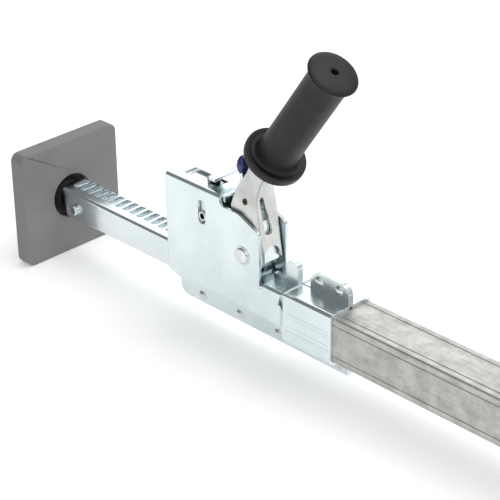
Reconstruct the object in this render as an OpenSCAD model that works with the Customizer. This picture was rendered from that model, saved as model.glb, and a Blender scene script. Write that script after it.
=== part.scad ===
// Ratcheting bed cargo bar: a square aluminium tube and a sliding steel rack bar, joined by a
// folded sheet housing with a lever, two pawls and a swivelling rubber foot at each end.

/* [Feet] */
// Width and height of each rubber pad
pad_size = 101.6; // [90:0.1:110]
// Thickness of each rubber pad
pad_t = 15; // [13:0.5:18]
// Corner radius of each pad, seen from its face
pad_corner_r = 7; // [3:0.5:12]
// Diameter of the round recess in the pad's inner face
recess_d = 38; // [37:0.5:40]
// Distance from the pad's inner face to its swivel pin
swivel_reach = 19; // [18.5:0.5:20]
// Diameter of the swivel pins
swivel_pin_d = 8; // [7:0.1:8.2]

/* [Ratchet bar] */
// Outside width of the square ratchet bar
bar_w = 25.4; // [25.2:0.1:25.5]
// Length of the ratchet bar
bar_len = 932; // [880:1:932]
// Distance between two troughs of the rack
trough_pitch = 8.75; // [8.75:0.01:8.76]
// Number of troughs in the rack
trough_count = 102; // [60:1:102]
// Width of one trough along the bar
trough_w = 6.2; // [5.8:0.1:6.6]
// Length of one trough across the bar
trough_len = 16.2; // [14:0.1:16.3]
// Depth of one trough
trough_depth = 2.8; // [2.6:0.1:3]

/* [Outer tube] */
// Outside width of the square outer tube
tube_w = 38.1; // [38:0.05:38.1]
// Wall of the outer tube
tube_wall = 3; // [2.6:0.1:3]
// Length over both pads as drawn
overall_len = 1121; // [1121:1:1140]

/* [Housing] */
// Thickness of the folded steel sheet
sheet = 2.4; // [2.2:0.1:2.4]
// Front edge of the housing, from the left pad's inner face
housing_front = 137.5; // [134:0.5:140]
// Height of the housing's top web above the bar's axis
housing_top = 74.2; // [72:0.1:76]
// How far the riveted flanges stand from the bar's axis
flange_reach = 37.5; // [36:0.5:39]

/* [Lever] */
// Distance of the lever's pivot from the left pad's inner face
pivot_x = 222; // [221.5:0.1:222.5]
// Height of the lever's pivot above the bar's axis
pivot_z = 32; // [31.8:0.1:32.4]
// Diameter of the pivot pin
pivot_d = 12.7; // [12:0.1:12.8]
// Half of the lever's outside width
lever_half_w = 12.5; // [12:0.1:12.6]
// Diameter of the grip's barrel
grip_d = 31.4; // [30:0.2:33]
// Diameter of the grip's lower flange
grip_flange_d = 49; // [46:0.5:50]

/* [Hidden] */
$fn = 64;

zinc = [0.80, 0.85, 0.86];
bright_steel = [0.86, 0.87, 0.88];
aluminium = [0.72, 0.71, 0.68];
rubber_grey = [0.50, 0.50, 0.49];
nylon_black = [0.10, 0.10, 0.10];
grip_black = [0.16, 0.16, 0.15];
dip_blue = [0.12, 0.20, 0.48];

// All x below are from the left pad's inner face, and all z are from the bar's axis.
origin_x = overall_len / 2 - pad_t;
right_face_x = overall_len - 2 * pad_t;
eps = 0.01;
slip = 0.05;

bar_half = bar_w / 2;
bar_start = 3;
bar_end = bar_start + bar_len;
bar_side_wall = 2;
bar_roof = 4.4;
cavity_half = bar_half - bar_side_wall;
cavity_top = bar_half - bar_roof;
bar_r = 2.6;
swivel_z = -2.4;
swivel_end = 3.6;
end_cut = 4.5;
first_trough = 9.6;
trough_y = 3.8;

tube_half = tube_w / 2;
tube_inner_half = tube_half - tube_wall;
tube_start = 271.5;
tube_gap = 4;
tube_end = right_face_x - tube_gap;

web_end = 198;
shoulder_z = 66;
brow_r = 14;
hip_r = 4;
rear_x = 240;
saddle_x = 243;
jog_x = 262;
clamp_x = 271;
clamp_end = 319.5;
wall_in = 13.1;
wall_out = wall_in + sheet;
clamp_in = tube_half + slip;
clamp_out = clamp_in + sheet;
seam = 0.1;
flange_out = seam + sheet;
bend_r = 0.6 + sheet / 2;
slot_x = 177.9;
slot_w = 8;
slot_low = 43;
slot_high = 63;
window_x0 = 148.5;
window_x1 = 186;
window_half = 6;
rivet_d = 5;
rivet_z = 31.8;
top_rivet_z = 30.9;
bottom_rivet_x = [162.6, 204.9, 246.7, 289.5, 309.7];
top_rivet_x = [289.5, 309.7];
bush_d = 15.4;

lever_t = 2.2;
lever_bend_r = 4;
lever_in = lever_half_w - lever_t;
web_tilt = 8.3;
web_foot = [239.5, 30];
grip_tilt = 34.9;
grip_base = [253.8, 134.1];
roll_x = 222.3;
roll_z = 76.4;
roll_d = 5;
lever_sweep_r = 18;
sleeve_d = 16;
taper_low = 74;
taper_high = 96;
waist_t = -52.3;
neck_half = 9;
neck_reach = 9;
neck_start = -38;
tang_start = -28;
tang_end = 66;
tang_reach = 5;
arch_r = 8.4;
grip_shift = 0.8;
grip_low = -26.5;
pawl_sweep_r = 19.1;
drive_x = first_trough + 25 * trough_pitch;
hold_x = first_trough + 19 * trough_pitch;
land_gap = 0.15;
hold_pin_z = 49.4;
hold_pin_d = 7.6;
spring_plate_z = housing_top - sheet;
spring_plate_t = 2;
hold_spring_x = 165.5;
tip_half = trough_len / 2 - 2.5;
ledge_z = 60.6;
ledge_t = 2.6;
arm_half = 3.5;

// Moves a piece from the working coordinates to the part's own frame.
module placed() {
    translate([-origin_x, 0, pad_size / 2]) children();
}

// Extrudes an outline of (y, z) points from x0 to x1.
module along_x(x0, x1) {
    translate([x0, 0, 0]) rotate([90, 0, 90]) linear_extrude(x1 - x0) children();
}

// Extrudes an outline of (x, z) points from y0 to y1.
module along_y(y0, y1) {
    translate([0, y1, 0]) rotate([90, 0, 0]) linear_extrude(y1 - y0) children();
}

// A rod along Y.
module rod_y(x, z, d, y0, y1) {
    translate([x, y0, z]) rotate([-90, 0, 0]) cylinder(d = d, h = y1 - y0);
}

// Rectangle between two corners with true round corners.
module round_rect(low, high, r) {
    size = high - low;
    translate(low + [r, 0]) square([size[0] - 2 * r, size[1]]);
    translate(low + [0, r]) square([size[0], size[1] - 2 * r]);
    for (x = [low[0] + r, high[0] - r], y = [low[1] + r, high[1] - r])
        translate([x, y]) circle(r);
}

// Outline of a slot with round ends between two points on one vertical or horizontal line.
module obround(a, b, w) {
    for (p = [a, b]) translate(p) circle(d = w);
    low = [min(a[0], b[0]), min(a[1], b[1])];
    high = [max(a[0], b[0]), max(a[1], b[1])];
    across = a[0] == b[0] ? [w / 2, 0] : [0, w / 2];
    translate(low - across) square(high - low + 2 * across);
}

function unit(v) = v / norm(v);

// Edge-on outline of a folded sheet: a centre line of right-angled corners, each bent to radius r.
module folded(path, t, r) {
    last = len(path) - 1;
    for (i = [0:last - 1]) {
        d = unit(path[i + 1] - path[i]);
        side = [-d[1], d[0]] * t / 2;
        a = path[i] + d * (i > 0 ? r : 0);
        b = path[i + 1] - d * (i < last - 1 ? r : 0);
        polygon([a + side, b + side, b - side, a - side]);
    }
    for (i = [1:last - 1]) {
        d1 = unit(path[i] - path[i - 1]);
        d2 = unit(path[i + 1] - path[i]);
        c = path[i] - d1 * r + d2 * r;
        reach = r + t;
        intersection() {
            difference() {
                translate(c) circle(r + t / 2);
                translate(c) circle(r - t / 2);
            }
            polygon([c, c + d1 * reach, c + (d1 - d2) * reach, c - d2 * reach]);
        }
    }
}

// Both mirrored halves of a folded section.
module both_sides() {
    children();
    mirror([1, 0]) children();
}

// A coil spring along Z: a round wire swept up a helix.
function helix_point(r, pitch, a) = [r * cos(a), r * sin(a), pitch * a / 360];
module coil(coil_r, wire_r, turns, height) {
    steps = 20;
    sides = 8;
    rise = (height - 2 * wire_r) / turns;
    rings = turns * steps;
    lean = atan(rise / (2 * PI * coil_r));
    points = [for (i = [0:rings]) let (
            a = i * 360 / steps,
            c = helix_point(coil_r, rise, a),
            out = [cos(a), sin(a), 0],
            up = [sin(a) * sin(lean), -cos(a) * sin(lean), cos(lean)])
        for (j = [0:sides - 1]) let (b = j * 360 / sides)
            c + wire_r * (out * cos(b) + up * sin(b))];
    walls = [for (i = [0:rings - 1], j = [0:sides - 1]) let (k = (j + 1) % sides)
        [i * sides + j, (i + 1) * sides + j, (i + 1) * sides + k, i * sides + k]];
    start = [[for (j = [0:sides - 1]) j]];
    end = [[for (j = [sides - 1:-1:0]) rings * sides + j]];
    translate([0, 0, wire_r]) polyhedron(points, concat(start, walls, end));
}

// ---------------------------------------------------------------- outer tube and its end

// Square extrusion with two shallow lengthwise grooves in each face.
module tube_outline() {
    groove_at = tube_half - 6;
    difference() {
        round_rect([-tube_half, -tube_half], [tube_half, tube_half], 1.8);
        round_rect([-tube_inner_half, -tube_inner_half], [tube_inner_half, tube_inner_half], 1);
        for (a = [0:90:270], s = [-1, 1])
            rotate(a) translate([s * groove_at, tube_half]) circle(0.5, $fn = 24);
    }
}

module outer_tube() {
    color(aluminium) placed() difference() {
        along_x(tube_start, tube_end) tube_outline();
        rod_y(right_face_x - swivel_reach, swivel_z, swivel_pin_d, -tube_w, tube_w);
    }
}

// Moulded plug that carries the swivel pin and the hub's tongue in the tube's end.
module end_plug() {
    plug_len = 31;
    plug_half = tube_inner_half - slip;
    floor_t = 4;
    x0 = tube_end - plug_len;
    color(nylon_black) placed() difference() {
        along_x(x0, tube_end) round_rect([-plug_half, -plug_half], [plug_half, plug_half], 1.2);
        translate([x0 + floor_t, -cavity_half, -cavity_half])
            cube([plug_len, 2 * cavity_half, 2 * cavity_half]);
        rod_y(right_face_x - swivel_reach, swivel_z, swivel_pin_d, -tube_w, tube_w);
    }
}

// ---------------------------------------------------------------- housing

// Outline of the housing's side: high front block, sloping shoulder, low rear.
module side_outline() {
    low = -flange_reach - 1;
    heel_r = 4;
    brow = [214.5, shoulder_z - brow_r];
    hip = [rear_x - hip_r, 53.5];
    slope = atan((brow[1] - hip[1]) / (hip[0] - brow[0]))
        + asin((brow_r - hip_r) / norm(hip - brow));
    out = [sin(slope), cos(slope)];
    translate([housing_front, low]) square([web_end - housing_front, housing_top - low + 1]);
    polygon([
        [web_end - eps, low], [rear_x, low], [rear_x, hip[1]], hip + hip_r * out,
        brow + brow_r * out, [brow[0], shoulder_z], [web_end - eps, shoulder_z]]);
    translate(brow) circle(brow_r);
    translate(hip) circle(hip_r);
    difference() {
        translate([web_end - eps, shoulder_z - eps]) square([heel_r + eps, heel_r]);
        translate([web_end + heel_r, shoulder_z + heel_r]) circle(heel_r);
    }
    translate([rear_x - eps, low]) square([saddle_x - rear_x + 2 * eps, 12 - low]);
}

// Centre line of half a section that wraps a square and ends in a flange below it.
function wrap_path(half, top) = [
    [seam + sheet / 2, -flange_reach],
    [seam + sheet / 2, -half],
    [half, -half],
    [half, top],
];

module front_section() {
    both_sides() folded(
        concat(wrap_path(wall_in + sheet / 2, housing_top - sheet / 2),
            [[0, housing_top - sheet / 2]]), sheet, bend_r);
}

// Half section that closes over its top with an upright flange of the given height.
module closed_section(half, top) {
    both_sides() folded(
        concat(wrap_path(half, half), [[seam + sheet / 2, half], [seam + sheet / 2, top]]),
        sheet, bend_r);
}

// Square sleeve that widens from the bar's wrap to the tube's clamp.
module jog() {
    module ring(x, half, r) along_x(x, x + eps)
        round_rect([-half, -half], [half, half], r, $fn = 32);
    difference() {
        hull() {
            ring(jog_x, wall_out, bend_r + sheet / 2);
            ring(clamp_x, clamp_out, bend_r + sheet / 2);
        }
        hull() {
            ring(jog_x - eps, wall_in, 0.6);
            ring(clamp_x + eps, clamp_in, 0.6);
        }
        along_x(jog_x - 1, clamp_x + 1) translate([-seam, -clamp_out - 1])
            square([2 * seam, 2 * clamp_out + 2]);
    }
    both_sides_y() along_x(jog_x - eps, clamp_x + eps)
        translate([seam, -flange_reach]) square([sheet, flange_reach - wall_in]);
}

module both_sides_y() {
    children();
    mirror([0, 1, 0]) children();
}

// The web's rear edge, turned down to a rounded lip.
module web_lip() {
    lip_half = wall_in - 0.8;
    along_y(-lip_half, lip_half) folded(
        [[web_end - 4, housing_top - sheet / 2],
         [web_end + bend_r, housing_top - sheet / 2],
         [web_end + bend_r, housing_top - 6]], sheet, bend_r);
}

// Outline in (x, z) of everything that the upright flanges may cover.
module upright_outline() {
    low = 10;
    round_rect([256, low], [268.5, flange_reach - 1], 5);
    round_rect([281, low], [320, flange_reach], 10);
    translate([saddle_x - 1, -flange_reach - 1]) square([clamp_end - saddle_x + 1, 59.2]);
}

// Shallow stiffening beads pressed into the clamp's side.
module clamp_beads() {
    proud = 0.5;
    bead_r = 5;
    for (z = [4.4, -7])
        along_x(275, clamp_end - 3) translate([-clamp_out - proud + bead_r, z])
            intersection() {
                circle(bead_r);
                translate([-bead_r, -bead_r]) square([proud + 0.6, 2 * bead_r]);
            }
}

module housing() {
    flange_corner_r = 9;
    notch = [[259.5, 4.5], [270.2, 4.5], [270.2, 12.5], [262, 12.5]];
    color(zinc) placed() difference() {
        union() {
            intersection() {
                along_x(housing_front, saddle_x + eps) front_section();
                along_y(-wall_out - 1, wall_out + 1) side_outline();
            }
            web_lip();
            intersection() {
                union() {
                    along_x(saddle_x, jog_x + eps)
                        closed_section(wall_in + sheet / 2, flange_reach);
                    along_x(jog_x, clamp_x + eps) both_sides() translate([seam, wall_in])
                        square([sheet, flange_reach - wall_in]);
                    along_x(clamp_x, clamp_end) closed_section(clamp_in + sheet / 2, flange_reach);
                }
                along_y(-clamp_out - 1, clamp_out + 1) upright_outline();
            }
            jog();
            both_sides_y() clamp_beads();
        }
        // front lower corners of the walls and of the flange
        for (s = [-1, 1])
            translate([0, s * (flange_out + 0.6 + wall_out), 0])
                along_y(-wall_out, wall_out) polygon([
                    [housing_front - 1, -9], [154, -wall_out - 0.5],
                    [housing_front - 1, -wall_out - 0.5]]);
        along_y(-flange_out - 1, flange_out + 1) difference() {
            translate([housing_front - 1, -flange_reach - 1])
                square([flange_corner_r + 1, flange_corner_r + 1]);
            translate([housing_front + flange_corner_r, -flange_reach + flange_corner_r])
                circle(flange_corner_r);
        }
        // pawl slots, pivot holes, top window and rivet holes
        along_y(-wall_out - 1, wall_out + 1)
            obround([slot_x, slot_low + slot_w / 2], [slot_x, slot_high - slot_w / 2], slot_w);
        rod_y(pivot_x, pivot_z, bush_d, -wall_out - 1, wall_out + 1);
        translate([window_x0, -window_half, housing_top - sheet - 1])
            cube([window_x1 - window_x0, 2 * window_half, sheet + 2]);
        for (x = bottom_rivet_x) rod_y(x, -rivet_z, rivet_d, -flange_out - 1, flange_out + 1);
        for (x = top_rivet_x) rod_y(x, top_rivet_z, rivet_d, -flange_out - 1, flange_out + 1);
        // relief notches at the corner between saddle and clamp, and at the wall's foot
        along_y(-clamp_out - 1, -wall_in + 1.5) polygon(notch);
        along_y(wall_in - 1.5, clamp_out + 1) polygon(notch);
        rod_y(rear_x + 1.5, 13, 3.2, -wall_out - 1, wall_out + 1);
    }
}

// One rivet through both flanges, with a low domed head on each side.
module rivet(x, z) {
    head_r = 4.2;
    head_h = 2;
    dome_r = (head_r * head_r + head_h * head_h) / (2 * head_h);
    rod_y(x, z, rivet_d, -flange_out - eps, flange_out + eps);
    for (s = [-1, 1]) translate([x, s * flange_out, z]) rotate([-90 * s, 0, 0])
        rotate_extrude() intersection() {
            translate([0, head_h - dome_r]) circle(dome_r);
            square([head_r, head_h]);
        }
}

module bottom_rivets() {
    color(bright_steel) placed() for (x = bottom_rivet_x) rivet(x, -rivet_z);
}

module top_rivets() {
    color(bright_steel) placed() for (x = top_rivet_x) rivet(x, top_rivet_z);
}

// Doubler welded under the web, which closes the window's front and holds the pawl's spring.
module spring_plate() {
    peg_d = 3.4;
    z0 = spring_plate_z - spring_plate_t;
    color(bright_steel) placed() {
        translate([150.6, -wall_in + 0.6, z0]) cube([21.9, 2 * wall_in - 1.2, spring_plate_t]);
        translate([hold_spring_x, 0, z0 - 3]) cylinder(d = peg_d, h = 3 + eps);
    }
}

// Shouldered pin, peened over the bush at each end.
module pivot_pin() {
    color(bright_steel) placed() {
        rod_y(pivot_x, pivot_z, pivot_d, -wall_out - 0.9, wall_out + 0.9);
        for (s = [-1, 1]) translate([pivot_x, s * (wall_out + 0.9), pivot_z])
            rotate([-90 * s, 0, 0]) cylinder(d1 = pivot_d, d2 = pivot_d - 1.6, h = 0.8);
    }
}

module pivot_bushes() {
    color(bright_steel) placed() for (s = [-1, 1]) difference() {
        rod_y(pivot_x, pivot_z, bush_d, s > 0 ? wall_in : -wall_out - 0.4,
            s > 0 ? wall_out + 0.4 : -wall_in);
        rod_y(pivot_x, pivot_z, pivot_d, -wall_out - 2, wall_out + 2);
    }
}

// ---------------------------------------------------------------- ratchet bar

module ratchet_bar() {
    trough_low = trough_y - trough_len / 2 + trough_w / 2;
    trough_high = trough_y + trough_len / 2 - trough_w / 2;
    color(zinc) placed() difference() {
        along_x(bar_start, bar_end) difference() {
            round_rect([-bar_half, -bar_half], [bar_half, bar_half], bar_r);
            round_rect([-cavity_half, -cavity_half], [cavity_half, cavity_top], 1);
        }
        translate([0, 0, bar_half - trough_depth]) linear_extrude(trough_depth + 1)
            for (i = [0:trough_count - 1]) let (x = first_trough + i * trough_pitch)
                obround([x, trough_low], [x, trough_high], trough_w);
        // the bar's mouth is cut back towards its lower edge, so that the foot can tilt
        along_y(-bar_w, bar_w) polygon([
            [bar_start - 1, bar_half], [bar_start, bar_half],
            [bar_start + end_cut, -bar_half], [bar_start + end_cut, -bar_half - 1],
            [bar_start - 1, -bar_half - 1]]);
        rod_y(swivel_reach, swivel_z, swivel_pin_d, -bar_w, bar_w);
    }
}

// Moulded cap on the bar's hidden end: it slides in the tube and stops at the housing.
module bar_end_guide() {
    cap_half = tube_inner_half - 0.3;
    plug_half = cavity_half - slip;
    color(nylon_black) placed() {
        along_x(bar_end, bar_end + 12)
            round_rect([-cap_half, -cap_half], [cap_half, cap_half], 1.6);
        along_x(bar_end - 30, bar_end + eps)
            round_rect([-plug_half, -plug_half], [plug_half, cavity_top - slip], 0.8);
    }
}

// Hollow-ended rivet pin: plain shank and a rolled ring at each end.
module swivel_pin(x, half_len) {
    ring_d = swivel_pin_d + 1.2;
    hollow_d = 4.6;
    hollow_len = 5;
    color(bright_steel) placed() difference() {
        union() {
            rod_y(x, swivel_z, swivel_pin_d, -half_len, half_len);
            for (s = [-1, 1]) translate([x, s * (half_len - 1.2), swivel_z]) rotate([90, 0, 0])
                rotate_extrude() {
                    translate([ring_d / 2 - 1.2, 0]) circle(1.2, $fn = 24);
                    translate([0, -1.2]) square([ring_d / 2 - 1.2, 2.4]);
                }
        }
        for (s = [-1, 1]) translate([x, s * (half_len - hollow_len / 2 + 0.5), swivel_z])
            rotate([90, 0, 0]) cylinder(d = hollow_d, h = hollow_len + 1, center = true);
    }
}

module left_swivel_pin() {
    swivel_pin(swivel_reach, bar_half + swivel_end);
}

module right_swivel_pin() {
    swivel_pin(right_face_x - swivel_reach, tube_half + swivel_end);
}

// ---------------------------------------------------------------- feet

// Draws a foot's piece at the left end, or turned about at the right end.
module at_end(right) {
    if (right) translate([right_face_x, 0, 0]) mirror([1, 0, 0]) children();
    else children();
}

recess_depth = 8;
plate_x = -12.5;
plate_t = 2.5;
plate_d = 60;
hub_flange_t = 4;
screw_d = 6;

module pad(right) {
    half = pad_size / 2;
    color(rubber_grey) placed() at_end(right) difference() {
        along_x(-pad_t, 0) round_rect([-half, -half], [half, half], pad_corner_r);
        translate([-recess_depth, 0, 0]) rotate([0, 90, 0])
            cylinder(d = recess_d, h = recess_depth + 1);
        translate([plate_x, 0, 0]) rotate([0, 90, 0]) cylinder(d = plate_d, h = plate_t);
        translate([plate_x, 0, 0]) rotate([0, 90, 0])
            cylinder(d = recess_d, h = -recess_depth - plate_x + eps);
    }
}

// Black hub: a flange seated in the recess, a neck, and a round tongue on the swivel pin.
module hub(right) {
    tongue_half = cavity_half - 0.4;
    head_r = 7.8;
    neck_half = 4.8;
    seat = plate_x + plate_t;
    color(nylon_black) placed() at_end(right) difference() {
        union() {
            translate([seat, 0, 0]) rotate([0, 90, 0])
                cylinder(d = recess_d - 0.2, h = hub_flange_t + 2);
            translate([seat + hub_flange_t + 2 - eps, 0, 0]) rotate([0, 90, 0])
                cylinder(d1 = 30, d2 = 24, h = 3);
            along_y(-tongue_half, tongue_half) {
                translate([swivel_reach, swivel_z]) circle(head_r);
                translate([seat + 1, swivel_z - neck_half])
                    square([swivel_reach - seat - 1, 2 * neck_half]);
            }
        }
        rod_y(swivel_reach, swivel_z, swivel_pin_d + 2 * slip, -bar_w, bar_w);
        translate([seat - 1, 0, 0]) rotate([0, 90, 0]) cylinder(d = screw_d, h = 16);
    }
}

module foot_plate(right) {
    color(bright_steel) placed() at_end(right) difference() {
        translate([plate_x, 0, 0]) rotate([0, 90, 0]) cylinder(d = plate_d, h = plate_t);
        translate([plate_x - 1, 0, 0]) rotate([0, 90, 0]) cylinder(d = screw_d, h = plate_t + 2);
        translate([plate_x - eps, 0, 0]) rotate([0, 90, 0])
            cylinder(d1 = 2 * screw_d, d2 = screw_d, h = plate_t);
    }
}

// Countersunk screw that holds the hub to its plate.
module hub_screw(right) {
    color(bright_steel) placed() at_end(right) {
        translate([plate_x, 0, 0]) rotate([0, 90, 0])
            cylinder(d1 = 2 * screw_d - 0.1, d2 = screw_d, h = plate_t);
        translate([plate_x + plate_t - eps, 0, 0]) rotate([0, 90, 0])
            cylinder(d = screw_d, h = 14);
    }
}

module left_pad() pad(false);
module right_pad() pad(true);
module left_hub() hub(false);
module right_hub() hub(true);
module left_plate() foot_plate(false);
module right_plate() foot_plate(true);
module left_hub_screw() hub_screw(false);
module right_hub_screw() hub_screw(true);

// ---------------------------------------------------------------- lever

// Puts a piece drawn along Z on the grip's axis.
module on_grip_axis() {
    translate([grip_base[0], 0, grip_base[1]]) rotate([0, grip_tilt, 0]) children();
}

// A point on the grip's centre plane, x across and t along its axis, in (x, z).
function grip_point(x, t) = grip_base + [
    x * cos(grip_tilt) + t * sin(grip_tilt), t * cos(grip_tilt) - x * sin(grip_tilt)];

// A point on the web's outer face at height z.
function web_point(z) = [web_foot[0] - (z - web_foot[1]) * tan(web_tilt), z];

// Outline of the lever from the side: root in the round boss, triangular ear, neck and tang.
module lever_side() {
    polygon([
        [pivot_x - 14, pivot_z], [208, 66], [207.4, 68.6], [210.3, 77.8], [212.7, 85.7],
        [220.3, 97.2], [225.6, 108.5], grip_point(-8.5, tang_start - 4),
        grip_point(-tang_reach, tang_start), grip_point(-tang_reach, tang_end),
        grip_point(neck_reach, tang_end), grip_point(neck_reach, waist_t),
        web_point(web_foot[1]), [pivot_x, pivot_z - 6]]);
}

// Outline of the space inside the folded sheet, from the side: open towards -X.
module lever_hollow() {
    inner = neck_reach - lever_t;
    polygon([
        [pivot_x - 60, 0], web_point(0) - [lever_t, 0], grip_point(inner, waist_t + 0.6),
        grip_point(inner, tang_end + 9), grip_point(-60, tang_end + 9)]);
}

// Outline of the lever from behind, in (y, z): wide at the foot, tapered to the neck.
module lever_back(shrink) {
    foot = lever_half_w - shrink;
    neck = neck_half - shrink;
    polygon([
        [foot, 0], [foot, taper_low], [neck, taper_high], [neck, 240],
        [-neck, 240], [-neck, taper_high], [-foot, taper_low], [-foot, 0]]);
}

// What a bend's rounding takes from a square corner whose tip is at the origin.
module corner_waste(r) {
    difference() {
        translate([-r, -r]) square(r + 1);
        translate([-r, -r]) circle(r);
    }
}

// Everything under an outline of (y, z) points from x0 on, so that it cuts only the web.
module through_web(x0) {
    translate([x0, 0, 0]) rotate([90, 0, 90]) linear_extrude(40) children();
}

module handle_lever() {
    color(zinc) placed() difference() {
        union() {
            intersection() {
                along_y(-lever_half_w - 1, lever_half_w + 1) lever_side();
                along_x(pivot_x - 60, pivot_x + 120) lever_back(0);
            }
            rod_y(pivot_x, pivot_z, 2 * lever_sweep_r, -lever_half_w, lever_half_w);
        }
        intersection() {
            along_y(-lever_half_w - 1, lever_half_w + 1) lever_hollow();
            along_x(pivot_x - 60, pivot_x + 120) lever_back(lever_t);
        }
        both_sides_y() {
            translate([web_foot[0], lever_half_w, web_foot[1]]) rotate([0, -web_tilt, 0])
                translate([0, 0, -30]) linear_extrude(taper_low + 1) corner_waste(lever_bend_r);
            on_grip_axis() translate([neck_reach, neck_half, neck_start]) linear_extrude(120)
                corner_waste(lever_bend_r);
        }
        rod_y(pivot_x, pivot_z, sleeve_d, -20, 20);
        rod_y(roll_x, roll_z, roll_d, -20, 20);
        through_web(pivot_x) polygon([
            [-4, 81], [-6.5, 79], [-5, 52.5], [-2, 50], [1.5, 50.5], [2.5, 55], [-1, 70]]);
        through_web(pivot_x + 8) {
            translate([0, pivot_z]) circle(arch_r);
            translate([-arch_r, 0]) square([2 * arch_r, pivot_z]);
        }
    }
}

// Moulded grip: barrel, dished lower flange and domed cap.
module handle_grip() {
    barrel_r = grip_d / 2;
    flange_r = grip_flange_d / 2;
    color(grip_black) placed() on_grip_axis() difference() {
        translate([grip_shift, 0, 0]) rotate_extrude() {
            translate([0, grip_low]) square([barrel_r, 102]);
            translate([0, grip_low]) polygon([
                [0, 0], [flange_r - 2, 0], [flange_r - 0.2, 1.6], [flange_r, 6.4],
                [flange_r - 0.6, 8.6], [flange_r - 1.6, 9.2], [flange_r - 3.5, 8.2],
                [barrel_r + 4, 6.4], [barrel_r + 1.6, 7.4], [barrel_r + 0.4, 10],
                [barrel_r, 13], [0, 13]]);
            polygon([
                [0, 72], [barrel_r, 72], [barrel_r + 0.3, 74], [barrel_r + 1.2, 75.2],
                [barrel_r + 2.6, 75.9], [barrel_r + 3.9, 76.8], [barrel_r + 4.1, 77.9],
                [barrel_r + 3.7, 79], [barrel_r + 1.9, 80.4], [14, 81.3], [10, 81.7],
                [0, 81.9]]);
        }
        translate([-tang_reach, -neck_half, tang_start]) cube([
            tang_reach + neck_reach, 2 * neck_half, tang_end - tang_start]);
        translate([grip_shift, 0, 68]) cylinder(d = 4.6, h = 20);
    }
}

// Spacer tube between the housing walls, on which the lever is pressed.
module pivot_sleeve() {
    color(bright_steel) placed() difference() {
        rod_y(pivot_x, pivot_z, sleeve_d, -wall_in + 0.3, wall_in - 0.3);
        rod_y(pivot_x, pivot_z, pivot_d + 2 * slip, -wall_in - 1, wall_in + 1);
    }
}

module roll_pin() {
    color([0.30, 0.19, 0.14]) placed() difference() {
        rod_y(roll_x, roll_z, roll_d, -lever_half_w, lever_half_w);
        rod_y(roll_x, roll_z, 2.4, -20, 20);
    }
}

// Coil spring between the roll pin and the drive pawl's ledge.
module drive_spring() {
    color(bright_steel) placed() translate([roll_x, 0, ledge_z])
        coil(2.9, 0.5, 5, roll_z - roll_d / 2 - ledge_z);
}

// ---------------------------------------------------------------- drive pawl and its finger tab

// Vinyl dipped over the end of the pawl's finger arm.
module trigger_tab() {
    color(dip_blue) placed() difference() {
        along_y(-5.5, 5.5) union() {
            translate([208.1, 101.6]) circle(4.6);
            polygon([
                [203.5, 101.6], [204.4, 95], [206.2, 89.4], [207.6, 86.4], [212.8, 86.4],
                [213.3, 92], [212.7, 99], [212.7, 101.8], [208.4, 106.1]]);
        }
        along_y(-arm_half, arm_half) arm_outline();
    }
}

// Outline in (x, z) of the finger arm, from the ledge up to its end inside the tab.
module arm_outline() {
    polygon([
        [209.4, ledge_z - ledge_t], [212.4, ledge_z - ledge_t], [212.4, 84], [210.8, 93],
        [209.6, 102], [206.8, 102], [207.8, 92], [209.4, 83]]);
}

// Stamped drive pawl: tip over the rack, blade along the web, ledge under the spring, finger arm.
module drive_pawl() {
    blade_half = lever_in - 0.4;
    blade_gap = lever_t + 0.5;
    blade_x = web_point(30)[0] - blade_gap;
    color(zinc) placed() {
        intersection() {
            along_y(trough_y - tip_half, trough_y + tip_half) polygon([
                [drive_x - 1.5, 8], [drive_x + 1.5, 8], [drive_x + 1.7, 15],
                [blade_x, 27], [blade_x - 3, 28], [drive_x - 1.6, 15.5]]);
            translate([pivot_x, 0, pivot_z]) rotate([90, 0, 0])
                cylinder(r = pawl_sweep_r, h = 60, center = true);
        }
        along_y(-blade_half, blade_half) {
            polygon([
                [blade_x - 5, 22.5], [blade_x - 2.4, 22.5], [blade_x, 27],
                web_point(ledge_z) - [blade_gap, 0], web_point(ledge_z) - [blade_gap + 2.8, 0],
                [blade_x - 3, 28]]);
            translate([209.4, ledge_z - ledge_t]) square([22, ledge_t]);
        }
        along_y(-arm_half, arm_half) arm_outline();
    }
}

// ---------------------------------------------------------------- holding pawl

// Pawl block with its tip over the rack, a neck through the web's window and a T-shaped tab.
module holding_pawl() {
    body_half = wall_in - 0.5;
    tip_z = bar_half + land_gap;
    neck_half = window_half - 0.6;
    tab_half = 12.3;
    color(zinc) placed() difference() {
        union() {
            along_y(trough_y - tip_half, trough_y + tip_half) polygon([
                [hold_x - 1.5, tip_z], [hold_x + 0.3, tip_z], [hold_x + 1.5, tip_z + 1.4],
                [hold_x + 1.5, 22], [hold_x - 1.5, 22]]);
            along_y(-body_half, body_half) polygon([
                [hold_x - 1.5, 18], [hold_x + 1.5, 18], [hold_x + 1.5, 30], [slot_x + 6, 40],
                [slot_x + 6, 58], [slot_x + 2, 62], [174.5, 62], [174.5, 50],
                [160.5, 50], [160.5, 46.5], [hold_x - 1.5, 44]]);
            along_y(-neck_half, neck_half) polygon([
                [174.5, 60], [177.5, 60], [177.5, 77.6], [184.4, 81.6], [190, 81.6],
                [190, 84], [183.6, 84], [174.5, 78.9]]);
            along_y(-tab_half, tab_half) polygon([
                [183.4, 81.6], [190, 81.6], [190, 84], [183.4, 84]]);
        }
        rod_y(slot_x, hold_pin_z, hold_pin_d, -20, 20);
    }
}

// Hollow pin that carries the pawl in the housing's slots.
module holding_pin() {
    color(bright_steel) placed() difference() {
        rod_y(slot_x, hold_pin_z, hold_pin_d, -wall_out + 0.4, wall_out - 0.4);
        rod_y(slot_x, hold_pin_z, 5, -20, 20);
    }
}

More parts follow.
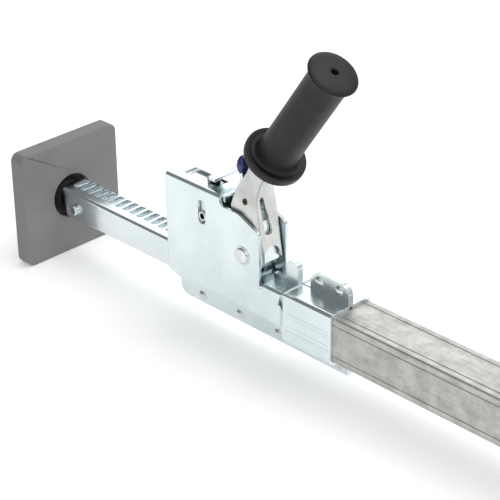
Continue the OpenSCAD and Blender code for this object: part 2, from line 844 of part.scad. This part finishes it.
module holding_spring() {
    seat_z = 50;
    color(bright_steel) placed() translate([hold_spring_x, 0, seat_z])
        coil(3.6, 0.6, 7, spring_plate_z - spring_plate_t - seat_z);
}

outer_tube();
housing();
bottom_rivets();
top_rivets();
spring_plate();
pivot_pin();
pivot_bushes();
end_plug();
right_swivel_pin();
ratchet_bar();
bar_end_guide();
left_swivel_pin();
left_pad();
left_hub();
left_plate();
left_hub_screw();
right_pad();
right_hub();
right_plate();
right_hub_screw();
handle_lever();
handle_grip();
pivot_sleeve();
roll_pin();
drive_spring();
trigger_tab();
drive_pawl();
holding_pawl();
holding_pin();
holding_spring();
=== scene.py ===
"""A ratcheting bed cargo bar: square aluminium tube, sliding steel rack bar, folded housing,
pumping lever with two pawls, and a swivelling rubber foot at each end. Units are metres."""
import math
import bpy
import bmesh
from mathutils import Matrix, Vector


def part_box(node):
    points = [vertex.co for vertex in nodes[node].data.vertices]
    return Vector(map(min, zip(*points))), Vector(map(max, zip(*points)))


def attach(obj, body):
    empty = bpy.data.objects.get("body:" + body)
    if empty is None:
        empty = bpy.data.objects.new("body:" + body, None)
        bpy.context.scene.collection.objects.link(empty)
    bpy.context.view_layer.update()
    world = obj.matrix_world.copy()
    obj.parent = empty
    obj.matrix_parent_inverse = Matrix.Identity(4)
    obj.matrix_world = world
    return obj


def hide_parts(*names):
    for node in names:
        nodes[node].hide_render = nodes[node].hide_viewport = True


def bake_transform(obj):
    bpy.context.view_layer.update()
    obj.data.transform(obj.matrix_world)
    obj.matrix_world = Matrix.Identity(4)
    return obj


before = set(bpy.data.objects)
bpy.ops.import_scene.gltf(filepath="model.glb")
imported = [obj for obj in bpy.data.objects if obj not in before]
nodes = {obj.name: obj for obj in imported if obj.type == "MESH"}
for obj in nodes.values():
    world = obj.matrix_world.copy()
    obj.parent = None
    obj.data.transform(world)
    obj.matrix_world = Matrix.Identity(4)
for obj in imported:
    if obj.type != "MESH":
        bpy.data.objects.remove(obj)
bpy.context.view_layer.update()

bpy.ops.object.select_all(action="DESELECT")

# ---------------------------------------------------------------- camera
# A long lens from above the near side, looking back along the bar towards the left foot. Its
# whites are kept as they are lit, with no film look.
bpy.ops.object.camera_add(location=(0.5395, -0.8440, 0.7336))
camera = bpy.context.object
camera.name = "camera"
camera.rotation_euler = (math.radians(61.63), math.radians(0.65), math.radians(45.53))
camera.data.sensor_width = 36.0
camera.data.lens = 129.9
camera.data.clip_start = 0.05
camera.data.clip_end = 20.0
bpy.context.scene.camera = camera
bpy.context.scene.view_settings.view_transform = "Standard"
bpy.context.scene.view_settings.look = "None"

# ---------------------------------------------------------------- floor and light
# A white table in a white room with one dark card at the front left, a soft box overhead, a weak
# fill at the right and a bright panel behind, which the upper faces mirror.
bpy.ops.mesh.primitive_plane_add(size=30.0, location=(0.0, 0.0, 0.0))
floor = bpy.context.object
floor.name = "floor"
floor_white = bpy.data.materials.new("floor_white")
floor_white.use_nodes = True
shader = floor_white.node_tree.nodes["Principled BSDF"]
shader.inputs["Base Color"].default_value = (0.95, 0.95, 0.945, 1.0)
shader.inputs["Roughness"].default_value = 0.9
shader.inputs["Specular IOR Level"].default_value = 0.1
shader.inputs["Emission Color"].default_value = (1.0, 1.0, 0.995, 1.0)
shader.inputs["Emission Strength"].default_value = 0.26
floor.data.materials.append(floor_white)

world = bpy.data.worlds.new("studio_room")
bpy.context.scene.world = world
world.use_nodes = True
room = world.node_tree
room_direction = room.nodes.new("ShaderNodeTexCoord")
room_split = room.nodes.new("ShaderNodeSeparateXYZ")
room_height = room.nodes.new("ShaderNodeMapRange")
room_height.inputs["From Min"].default_value = -0.1
room_height.inputs["From Max"].default_value = 0.9
room_ramp = room.nodes.new("ShaderNodeValToRGB")
room_ramp.color_ramp.elements[0].position = 0.0
room_ramp.color_ramp.elements[0].color = (0.86, 0.87, 0.87, 1.0)
room_ramp.color_ramp.elements[1].position = 1.0
room_ramp.color_ramp.elements[1].color = (0.62, 0.63, 0.64, 1.0)
room_ramp.color_ramp.elements.new(0.28).color = (0.42, 0.43, 0.44, 1.0)
room_ramp.color_ramp.elements.new(0.5).color = (1.0, 1.0, 1.0, 1.0)
room.links.new(room_direction.outputs["Generated"], room_split.inputs["Vector"])
room.links.new(room_split.outputs["Z"], room_height.inputs["Value"])
room.links.new(room_height.outputs["Result"], room_ramp.inputs["Fac"])
card_direction = (-0.66, -0.50, 0.56)
room_facing = room.nodes.new("ShaderNodeVectorMath")
room_facing.operation = "DOT_PRODUCT"
room_facing.inputs[1].default_value = card_direction
room_card = room.nodes.new("ShaderNodeMapRange")
room_card.inputs["From Min"].default_value = 0.70
room_card.inputs["From Max"].default_value = 0.93
room_card.inputs["To Min"].default_value = 1.0
room_card.inputs["To Max"].default_value = 0.34
room_shade = room.nodes.new("ShaderNodeMix")
room_shade.data_type = "RGBA"
room_shade.blend_type = "MULTIPLY"
room_shade.inputs["Factor"].default_value = 1.0
room.links.new(room_direction.outputs["Generated"], room_facing.inputs[0])
room.links.new(room_facing.outputs["Value"], room_card.inputs["Value"])
room.links.new(room_ramp.outputs["Color"], room_shade.inputs["A"])
room.links.new(room_card.outputs["Result"], room_shade.inputs["B"])
room.links.new(room_shade.outputs["Result"], room.nodes["Background"].inputs["Color"])
room.nodes["Background"].inputs["Strength"].default_value = 0.80

for name, place, aim, size, power in (
        ("key_light", (0.4, 0.9, 2.8), (-0.3, 0.0, 0.05), 2.2, 38.0),
        ("fill_light", (1.9, -1.4, 1.8), (-0.2, 0.0, 0.05), 1.8, 12.0),
        ("back_panel", (-2.1, 1.75, 1.40), (-0.3, 0.0, 0.05), 2.2, 17.0)):
    bpy.ops.object.light_add(type="AREA", location=place)
    lamp = bpy.context.object
    lamp.name = name
    lamp.data.size = size
    lamp.data.energy = power
    lamp.rotation_euler = (Vector(aim) - Vector(place)).to_track_quat("-Z", "Y").to_euler()

# ---------------------------------------------------------------- folded zinc sheet
# The housing and both pawls are stamped from steel sheet and barrel plated with bright zinc,
# which leaves a bluish white skin with faint cloudy patches and softly rounded cut edges.


def start_finish(name):
    """A new finish: its node tree, its skin, and the place on the piece that patterns follow."""
    finish = bpy.data.materials.new(name)
    finish.use_nodes = True
    tree = finish.node_tree
    place = tree.nodes.new("ShaderNodeTexCoord").outputs["Object"]
    return finish, tree, tree.nodes["Principled BSDF"], place


def drawn_out(tree, place, scale):
    """The place stretched along the bar, for a grain that runs lengthwise."""
    stretch = tree.nodes.new("ShaderNodeMapping")
    stretch.inputs["Scale"].default_value = scale
    tree.links.new(place, stretch.inputs["Vector"])
    return stretch.outputs["Vector"]


def clouds_at(tree, place, scale, detail, roughness=0.5):
    """Cloudy variation; a larger scale gives finer clouds."""
    clouds = tree.nodes.new("ShaderNodeTexNoise")
    clouds.inputs["Scale"].default_value = scale
    clouds.inputs["Detail"].default_value = detail
    clouds.inputs["Roughness"].default_value = roughness
    tree.links.new(place, clouds.inputs["Vector"])
    return clouds.outputs["Fac"]


def tint_skin(tree, skin, clouds, shade, light, shade_at=0.0, light_at=1.0):
    """Colours the skin from shade to light with the clouds, and returns the row of colours."""
    tint = tree.nodes.new("ShaderNodeValToRGB")
    tint.color_ramp.elements[0].position = shade_at
    tint.color_ramp.elements[0].color = (*shade, 1.0)
    tint.color_ramp.elements[1].position = light_at
    tint.color_ramp.elements[1].color = (*light, 1.0)
    tree.links.new(clouds, tint.inputs["Fac"])
    tree.links.new(tint.outputs["Color"], skin.inputs["Base Color"])
    return tint.color_ramp.elements


def uneven_gloss(tree, skin, clouds, low, high, dull, bright):
    """Makes the skin dull where the clouds are low and bright where they are high."""
    gloss = tree.nodes.new("ShaderNodeMapRange")
    gloss.inputs["From Min"].default_value = low
    gloss.inputs["From Max"].default_value = high
    gloss.inputs["To Min"].default_value = dull
    gloss.inputs["To Max"].default_value = bright
    tree.links.new(clouds, gloss.inputs["Value"])
    tree.links.new(gloss.outputs["Result"], skin.inputs["Roughness"])


def rounded_edges(tree, radius):
    """Light catches the sharp edges as if they were rounded off."""
    rounded = tree.nodes.new("ShaderNodeBevel")
    rounded.samples = 6
    rounded.inputs["Radius"].default_value = radius
    return rounded.outputs["Normal"]


def raised(tree, clouds, strength, distance, over=None):
    """Relief from the clouds, on top of the relief in over."""
    bump = tree.nodes.new("ShaderNodeBump")
    bump.inputs["Strength"].default_value = strength
    bump.inputs["Distance"].default_value = distance
    tree.links.new(clouds, bump.inputs["Height"])
    if over is not None:
        tree.links.new(over, bump.inputs["Normal"])
    return bump.outputs["Normal"]


def plated_zinc(name, light, shade, roughness, cloud_scale, edge):
    """Zinc plate: colour clouds, uneven gloss, a fine rolled grain and rounded edges."""
    zinc, tree, skin, place = start_finish(name)
    skin.inputs["Metallic"].default_value = 1.0
    clouds = clouds_at(tree, place, cloud_scale, 5.0, 0.6)
    tint_skin(tree, skin, clouds, shade, light, 0.32, 0.66)
    uneven_gloss(tree, skin, clouds, 0.3, 0.7, roughness + 0.06, roughness - 0.05)
    grain = clouds_at(tree, drawn_out(tree, place, (60.0, 900.0, 900.0)), 1.0, 3.0)
    dents = clouds_at(tree, place, 55.0, 2.0)
    waves = raised(tree, dents, 0.18, 0.0012, rounded_edges(tree, edge))
    tree.links.new(raised(tree, grain, 0.08, 0.0002, waves), skin.inputs["Normal"])
    return zinc


def finish_pieces(names, finish):
    """Gives each of these pieces the one finish all over."""
    for name in names:
        nodes[name].data.materials.clear()
        nodes[name].data.materials.append(finish)


zinc_sheet = plated_zinc(
    "zinc_sheet", (0.76, 0.835, 0.845), (0.66, 0.745, 0.76), 0.24, 26.0, 0.0007)
finish_pieces(("housing", "drive_pawl", "holding_pawl"), zinc_sheet)

# ---------------------------------------------------------------- ratchet bar
# One inch square steel tube, drawn and plated with bright zinc, with a row of round-ended
# troughs along its top for the pawls. It slides in the housing and the outer tube.
zinc_bar = plated_zinc("zinc_bar", (0.78, 0.85, 0.87), (0.67, 0.75, 0.78), 0.20, 20.0, 0.0005)
finish_pieces(("ratchet_bar",), zinc_bar)

# ---------------------------------------------------------------- pins and rivets
# Turned pins, domed rivets, washers and small plates: bright steel, a little darker and rougher
# than the sheet. The pin across the lever is rolled from spring steel, browned and oiled.
pin_steel = plated_zinc("pin_steel", (0.80, 0.82, 0.83), (0.60, 0.62, 0.64), 0.24, 120.0, 0.0004)
finish_pieces(
    ("bottom_rivets", "top_rivets", "spring_plate", "pivot_pin", "pivot_bushes",
     "right_swivel_pin", "left_swivel_pin", "left_plate", "left_hub_screw",
     "right_plate", "right_hub_screw", "pivot_sleeve", "holding_pin"), pin_steel)
oiled_pin = plated_zinc("oiled_pin", (0.15, 0.09, 0.06), (0.07, 0.045, 0.03), 0.42, 400.0, 0.0002)
finish_pieces(("roll_pin",), oiled_pin)

# ---------------------------------------------------------------- coil springs
# Two coils of plain spring wire, one under the roll pin and one under the housing's web. Each
# presses its pawl down.
spring_wire = plated_zinc(
    "spring_wire", (0.56, 0.57, 0.58), (0.42, 0.42, 0.43), 0.32, 300.0, 0.0002)


def wound_spring(name, node):
    """A copy of the part's coil with its doubled points merged, in spring wire; the part is
    hidden.
    """
    wire = nodes[node].data.copy()
    wire.name = name
    merged = bmesh.new()
    merged.from_mesh(wire)
    bmesh.ops.remove_doubles(merged, verts=merged.verts, dist=1e-6)
    merged.to_mesh(wire)
    merged.free()
    wire.materials.clear()
    wire.materials.append(spring_wire)
    coil = bpy.data.objects.new(name, wire)
    bpy.context.collection.objects.link(coil)
    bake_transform(coil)
    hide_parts(node)


wound_spring("drive_coil", "drive_spring")
wound_spring("holding_coil", "holding_spring")

# ---------------------------------------------------------------- outer tube
# Square aluminium extrusion with a mill finish: warm grey, with cloudy stains and fine streaks
# along its length. The housing is clamped round its left end.
mill_aluminium, tree, skin, place = start_finish("mill_aluminium")
skin.inputs["Metallic"].default_value = 0.9
stains = clouds_at(tree, place, 95.0, 9.0, 0.68)
streaks = clouds_at(tree, drawn_out(tree, place, (11.0, 260.0, 260.0)), 1.0, 6.0, 0.6)
weathered = tree.nodes.new("ShaderNodeMix")
weathered.data_type = "FLOAT"
weathered.inputs["Factor"].default_value = 0.30
tree.links.new(stains, weathered.inputs["A"])
tree.links.new(streaks, weathered.inputs["B"])
weathered = weathered.outputs["Result"]
greys = tint_skin(
    tree, skin, weathered, (0.395, 0.395, 0.375), (0.575, 0.57, 0.54), 0.36, 0.60)
greys.new(0.48).color = (0.485, 0.482, 0.455, 1.0)
uneven_gloss(tree, skin, weathered, 0.35, 0.65, 0.52, 0.40)
scuffs = raised(tree, weathered, 0.16, 0.0003, rounded_edges(tree, 0.0003))
tree.links.new(scuffs, skin.inputs["Normal"])
finish_pieces(("outer_tube",), mill_aluminium)

# ---------------------------------------------------------------- black mouldings
# The hubs in the pads, the plug in the tube's far end and the slide cap on the ratchet bar, all
# moulded in black nylon, with a faint texture and a satin skin.
black_nylon, tree, skin, place = start_finish("black_nylon")
skin.inputs["Roughness"].default_value = 0.5
skin.inputs["Specular IOR Level"].default_value = 0.2
mottle = clouds_at(tree, place, 260.0, 4.0)
tint_skin(tree, skin, mottle, (0.003, 0.003, 0.003), (0.010, 0.010, 0.010))
tree.links.new(raised(tree, mottle, 0.15, 0.0002), skin.inputs["Normal"])
finish_pieces(("end_plug", "bar_end_guide", "left_hub", "right_hub"), black_nylon)

# ---------------------------------------------------------------- rubber pads
# Four inch square pads moulded in grey rubber, with soft edges. Each has a round recess in its
# inner face that takes the hub.
grey_rubber, tree, skin, place = start_finish("grey_rubber")
skin.inputs["Roughness"].default_value = 0.62
skin.inputs["Specular IOR Level"].default_value = 0.35
dust = clouds_at(tree, place, 38.0, 6.0, 0.62)
tint_skin(tree, skin, dust, (0.200, 0.201, 0.197), (0.225, 0.226, 0.221), 0.3, 0.7)
pores = clouds_at(tree, place, 900.0, 3.0)
tree.links.new(raised(tree, pores, 0.12, 0.0002), skin.inputs["Normal"])

pad_corner_r = 0.0072
pad_edge_r = 0.0022
recess_r = 0.019
recess_shift = 0.007
for side in ("left", "right"):
    low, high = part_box(side + "_pad")
    middle = (Vector(low) + Vector(high)) / 2
    size = Vector(high) - Vector(low)
    towards_bar = 1.0 if side == "left" else -1.0
    bpy.ops.mesh.primitive_cube_add(size=1.0, location=middle, scale=size)
    pad = bpy.context.object
    pad.name = side + "_rubber_pad"
    bpy.ops.object.transform_apply(location=True, rotation=True, scale=True)
    bpy.ops.object.mode_set(mode="EDIT")
    mesh = bmesh.from_edit_mesh(pad.data)
    for edge in mesh.edges:
        run = (edge.verts[0].co - edge.verts[1].co).normalized()
        edge.select = abs(run.x) > 0.9
    bmesh.update_edit_mesh(pad.data)
    bpy.ops.mesh.bevel(offset=pad_corner_r, segments=10, affect="EDGES")
    bpy.ops.object.mode_set(mode="OBJECT")
    bpy.ops.mesh.primitive_cylinder_add(
        vertices=96, radius=recess_r, depth=size.x, rotation=(0.0, math.radians(90), 0.0),
        location=middle + Vector((towards_bar * recess_shift, 0.0, 0.0)))
    recess = bpy.context.object
    cut = pad.modifiers.new("recess", "BOOLEAN")
    cut.object = recess
    cut.operation = "DIFFERENCE"
    cut.solver = "EXACT"
    soft = pad.modifiers.new("soft_edges", "BEVEL")
    soft.width = pad_edge_r
    soft.segments = 5
    soft.limit_method = "ANGLE"
    soft.angle_limit = math.radians(50)
    bpy.context.view_layer.objects.active = pad
    bpy.ops.object.modifier_apply(modifier="recess")
    bpy.ops.object.modifier_apply(modifier="soft_edges")
    pad.data.shade_smooth()
    even = pad.modifiers.new("even_shading", "WEIGHTED_NORMAL")
    even.weight = 100
    bpy.ops.object.modifier_apply(modifier="even_shading")
    bpy.data.objects.remove(recess)
    bpy.ops.object.select_all(action="DESELECT")
    pad.select_set(True)
    pad.data.materials.append(grey_rubber)
    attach(pad, side + "_foot")
    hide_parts(side + "_pad")
    bpy.ops.object.select_all(action="DESELECT")

# ---------------------------------------------------------------- moulded grip
# Black rubber grip: a barrel, a wide dished flange at its foot and a domed cap with a small hole,
# moulded over the lever's tang. Its axis leans back along the bar. The profile gives radius
# and height, from the underside of the flange to the bottom of the cap's hole.
origin_x, origin_z = 0.5455, -0.0508
grip_lean = math.radians(34.9)
grip_base = Vector((0.2538 - origin_x, 0.0, 0.1341 - origin_z))
grip_shift = 0.0008
grip_profile = (
    (0.0080, -0.0235), (0.0148, -0.0250), (0.0190, -0.0261), (0.0222, -0.0263),
    (0.0238, -0.0252), (0.0243, -0.0232), (0.0243, -0.0205), (0.0242, -0.0187),
    (0.0236, -0.0179), (0.0226, -0.0180), (0.0210, -0.0186), (0.0194, -0.0192),
    (0.0181, -0.0191), (0.0170, -0.0182), (0.0162, -0.0163), (0.0158, -0.0135),
    (0.0156, -0.0080), (0.0156, 0.0200), (0.0156, 0.0500), (0.0156, 0.0690),
    (0.0158, 0.0730), (0.0164, 0.0750), (0.0178, 0.0763), (0.0191, 0.0771),
    (0.0197, 0.0779), (0.0194, 0.0787), (0.0180, 0.0796), (0.0160, 0.0803),
    (0.0135, 0.0807), (0.0100, 0.0811), (0.0060, 0.0814), (0.0034, 0.0814),
    (0.0026, 0.0808), (0.0023, 0.0790), (0.0023, 0.0715))
bpy.ops.mesh.primitive_plane_add(size=0.001)
grip = bpy.context.object
grip.name = "rubber_grip"
mesh = bmesh.new()
ring = [mesh.verts.new((x, 0.0, z)) for x, z in grip_profile]
for first, second in zip(ring, ring[1:]):
    mesh.edges.new((first, second))
mesh.to_mesh(grip.data)
mesh.free()
bpy.ops.object.mode_set(mode="EDIT")
bpy.ops.mesh.select_all(action="SELECT")
bpy.ops.mesh.spin(
    steps=96, angle=math.tau, center=grip.location, axis=(0.0, 0.0, 1.0), dupli=False)
bpy.ops.mesh.select_all(action="SELECT")
bpy.ops.mesh.remove_doubles(threshold=0.00001)
bpy.ops.mesh.select_all(action="DESELECT")
bpy.ops.mesh.select_non_manifold()
bpy.ops.mesh.edge_face_add()
bpy.ops.mesh.select_all(action="SELECT")
bpy.ops.mesh.normals_make_consistent(inside=False)
bpy.ops.object.mode_set(mode="OBJECT")
grip.data.transform(
    Matrix.Translation(grip_base) @ Matrix.Rotation(grip_lean, 4, "Y")
    @ Matrix.Translation((grip_shift, 0.0, 0.0)))
bpy.ops.object.select_all(action="DESELECT")
grip.select_set(True)
bpy.context.view_layer.objects.active = grip
smooth = grip.modifiers.new("smooth", "SUBSURF")
smooth.levels = 1
smooth.render_levels = 1
bpy.ops.object.modifier_apply(modifier="smooth")
bpy.ops.object.shade_smooth()

grip_rubber, tree, skin, place = start_finish("grip_rubber")
skin.inputs["Roughness"].default_value = 0.46
skin.inputs["Specular IOR Level"].default_value = 0.32
wear = clouds_at(tree, place, 70.0, 5.0)
tint_skin(tree, skin, wear, (0.009, 0.009, 0.008), (0.019, 0.019, 0.017), 0.3, 0.75)
pebbles = clouds_at(tree, place, 1000.0, 2.0)
tree.links.new(raised(tree, pebbles, 0.5, 0.0004), skin.inputs["Normal"])
grip.data.materials.append(grip_rubber)
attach(grip, "lever")
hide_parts("handle_grip")
bpy.ops.object.select_all(action="DESELECT")

# ---------------------------------------------------------------- blue finger tab
# The end of the drive pawl's finger arm is dipped in blue vinyl, which hangs as a teardrop with
# a glossy skin. It is round at the top and thins towards its lower end.
waist, taper, hang = 0.25, 0.60, 0.09
low, high = (Vector(corner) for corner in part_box("trigger_tab"))
bpy.ops.mesh.primitive_uv_sphere_add(segments=40, ring_count=24, radius=1.0)
tab = bpy.context.object
tab.name = "dipped_tab"
half = (high - low) / 2
for point in tab.data.vertices:
    drop = max(0.0, waist - point.co.z)
    slim = 1.0 - taper * drop ** 1.6
    point.co = Vector((
        (point.co.x * slim + hang * drop) * half.x, point.co.y * slim * half.y,
        point.co.z * half.z)) + (low + high) / 2
tab.select_set(True)
bpy.context.view_layer.objects.active = tab
bpy.ops.object.shade_smooth()
blue_vinyl, tree, skin, place = start_finish("blue_vinyl")
skin.inputs["Roughness"].default_value = 0.16
skin.inputs["Coat Weight"].default_value = 0.5
skin.inputs["Coat Roughness"].default_value = 0.05
runs = clouds_at(tree, place, 180.0, 2.0)
tint_skin(tree, skin, runs, (0.008, 0.013, 0.085), (0.022, 0.038, 0.210))
tree.links.new(raised(tree, runs, 0.3, 0.0008), skin.inputs["Normal"])
tab.data.materials.append(blue_vinyl)
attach(tab, "drive_pawl_body")
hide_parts("trigger_tab")
bpy.ops.object.select_all(action="DESELECT")

# ---------------------------------------------------------------- lever
# Folded from one blank: two cheeks with a web behind them, which leans back into a narrow neck.
# The outline is lofted upwards in millimetres from the left pad's face and the bar's axis, then
# the window, the arch over the pawl and the two cross holes are cut.
# The lever's zinc is a darker, greyer copy of the sheet's zinc: painted shade, standing in for
# the grey that the web mirrors.
lever_zinc_painted_shade = plated_zinc(
    "lever_zinc_painted_shade", (0.62, 0.63, 0.62), (0.50, 0.51, 0.505), 0.26, 60.0, 0.0006)
pivot_x, pivot_z, boss_r, pivot_bore_r = 222.0, 32.0, 18.0, 8.0
pin_x, pin_z, pin_bore_r = 222.3, 76.4, 2.5
sheet_t, fold_r = 2.2, 4.0
cheek_half, neck_half = 12.5, 9.0
bend_low, bend_high, neck_front = 78.0, 94.0, 236.5
web_low, web_bend, web_high = 232.5, 231.3, 236.8
cheek_front = (
    (43.0, 208.0), (66.0, 208.0), (68.6, 207.4), (77.8, 210.3), (85.7, 212.7), (91.5, 216.0),
    (97.2, 220.3), (103.0, 223.2), (108.5, 225.6), (112.7, 228.5), (114.0, 233.7),
    (118.0, 236.5))
levels = [14.6, 15.6, 17.0, 19.0, 21.5, 24.5, 28.0, 32.0, 36.0, 40.0, 43.0, 50.0, 58.0, 66.0,
          67.3, 68.6, 71.5, 74.0, 76.0, 78.0, 80.0, 82.0, 84.0, 86.0, 88.0, 90.0, 92.0, 94.0,
          96.0, 99.0, 103.0, 108.5, 112.7, 114.0, 118.0]


def from_pad_face(x, y, z):
    """A point in millimetres from the left pad's face and the bar's axis, in the frame."""
    return ((x - 545.5) / 1000, y / 1000, (z + 50.8) / 1000)


shell = bmesh.new()
rings = []
for z in levels:
    boss = math.sqrt(max(0.0, boss_r ** 2 - (z - pivot_z) ** 2))
    front = neck_front
    for (z0, x0), (z1, x1) in zip(cheek_front, cheek_front[1:]):
        if z0 <= z <= z1:
            front = x0 + (x1 - x0) * (z - z0) / (z1 - z0)
    if z < cheek_front[0][0]:
        front = pivot_x - boss
    bow = min(1.0, max(0.0, (z - bend_low) / (bend_high - bend_low)))
    rear = (1 - bow) ** 2 * web_low + 2 * bow * (1 - bow) * web_bend + bow ** 2 * web_high
    if z < bend_low:
        rear = 239.5 - (z - 30.0) * math.tan(math.radians(8.3))
    if z > bend_high:
        rear = web_high + (z - bend_high) * math.tan(grip_lean)
    if z < pivot_z:
        rear = min(rear, pivot_x + boss)
    narrow = min(1.0, max(0.0, (z - 72.0) / 26.0))
    narrow = narrow * narrow * (3.0 - 2.0 * narrow)
    half = cheek_half - (cheek_half - neck_half) * narrow
    outer, inner = [(front, -half)], [(front, -half + sheet_t)]
    for side in (-1.0, 1.0):
        for step in range(7):
            turn = math.radians(15.0 * step if side < 0 else 90.0 - 15.0 * step)
            for ring, radius in ((outer, fold_r), (inner, fold_r - sheet_t)):
                ring.append((
                    rear - fold_r + radius * math.sin(turn),
                    side * (half - fold_r + radius * math.cos(turn))))
    outer.append((front, half))
    inner.append((front, half - sheet_t))
    rings.append([
        [shell.verts.new(from_pad_face(x, y, z)) for x, y in ring]
        for ring in (outer, inner)])
count = len(rings[0][0])
for (outer, inner), (next_outer, next_inner) in zip(rings, rings[1:]):
    for k in range(count - 1):
        shell.faces.new((outer[k], outer[k + 1], next_outer[k + 1], next_outer[k]))
        shell.faces.new((inner[k + 1], inner[k], next_inner[k], next_inner[k + 1]))
    for k in (0, count - 1):
        shell.faces.new((inner[k], outer[k], next_outer[k], next_inner[k]))
for outer, inner in (rings[0], rings[-1]):
    for k in range(count - 1):
        shell.faces.new((outer[k], inner[k], inner[k + 1], outer[k + 1]))
bmesh.ops.recalc_face_normals(shell, faces=shell.faces)
bpy.ops.mesh.primitive_plane_add(size=0.001)
lever = bpy.context.object
lever.name = "folded_lever"
shell.to_mesh(lever.data)
shell.free()

cutters = []
for name, outline in (
        ("window", ((-4.0, 81.0), (-5.6, 80.4), (-6.5, 79.0), (-6.2, 68.0), (-5.2, 54.0),
                    (-4.2, 51.2), (-2.0, 50.0), (0.2, 49.9), (1.8, 50.8), (2.6, 52.6),
                    (2.4, 56.0), (0.6, 63.5), (-1.2, 71.0), (-2.8, 79.6))),
        ("arch", tuple((8.4 * math.cos(math.radians(a)), 32.0 + 8.4 * math.sin(math.radians(a)))
                       for a in range(0, 181, 10)) + ((-8.4, 29.6), (-10.6, 29.0),
                                                      (-10.6, 5.0), (10.6, 5.0),
                                                      (10.6, 29.0), (8.4, 29.6)))):
    prism = bmesh.new()
    start = -3.0 if name == "arch" else 0.0
    near = [prism.verts.new(from_pad_face(pivot_x + start, y, z)) for y, z in outline]
    far = [prism.verts.new(from_pad_face(pivot_x + 40.0, y, z)) for y, z in outline]
    prism.faces.new(near)
    prism.faces.new(far)
    for k in range(len(outline)):
        after = (k + 1) % len(outline)
        prism.faces.new((near[k], near[after], far[after], far[k]))
    bmesh.ops.recalc_face_normals(prism, faces=prism.faces)
    bpy.ops.mesh.primitive_plane_add(size=0.001)
    cutter = bpy.context.object
    cutter.name = name
    prism.to_mesh(cutter.data)
    prism.free()
    cutters.append(cutter)
for name, x, z, radius in (
        ("pivot_hole", pivot_x, pivot_z, pivot_bore_r), ("pin_hole", pin_x, pin_z, pin_bore_r)):
    bpy.ops.mesh.primitive_cylinder_add(
        vertices=64, radius=radius / 1000, depth=0.06, rotation=(math.radians(90), 0.0, 0.0),
        location=from_pad_face(x, 0.0, z))
    cutter = bpy.context.object
    cutter.name = name
    cutters.append(cutter)
bpy.context.view_layer.objects.active = lever
for cutter in cutters:
    cut = lever.modifiers.new(cutter.name, "BOOLEAN")
    cut.object = cutter
    cut.operation = "DIFFERENCE"
    cut.solver = "EXACT"
    bpy.ops.object.modifier_apply(modifier=cutter.name)
    bpy.data.objects.remove(cutter)
bpy.ops.object.select_all(action="DESELECT")
lever.select_set(True)
bpy.ops.object.shade_smooth_by_angle(angle=math.radians(32))
lever.data.materials.clear()
lever.data.materials.append(lever_zinc_painted_shade)
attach(lever, "lever")
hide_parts("handle_lever")
bpy.ops.object.select_all(action="DESELECT")
